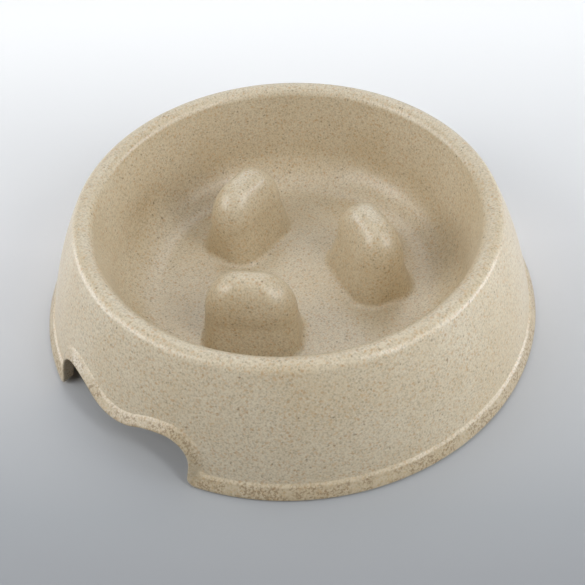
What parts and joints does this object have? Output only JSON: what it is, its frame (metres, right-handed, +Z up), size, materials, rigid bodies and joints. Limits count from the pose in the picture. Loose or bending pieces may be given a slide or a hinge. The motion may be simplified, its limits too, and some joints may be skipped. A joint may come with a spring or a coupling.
{
  "type": "slow feeder bowl",
  "caption": "Round slow feeder pet bowl: flared skirt with a hem and finger notches, rolled rim, deep dish with rounded humps set like a pinwheel, and push-in rubber feet.",
  "frame": {"origin": "under the middle of the bowl, on the surface that the rubber feet stand on", "axes": "+Z up out of the dish; the two finger notches face +X and -X; +Y lies across them"},
  "size_m": [0.2224, 0.23, 0.0548],
  "materials": {
    "fibre_composite": "matte, warm beige with fine brown specks",
    "rubber": "matte, soft"
  },
  "bodies": {
    "root": {"bowl": "fibre_composite", "rubber_foot_1": "rubber", "rubber_foot_2": "rubber", "rubber_foot_3": "rubber", "rubber_foot_4": "rubber"}
  },
  "joints": []
}
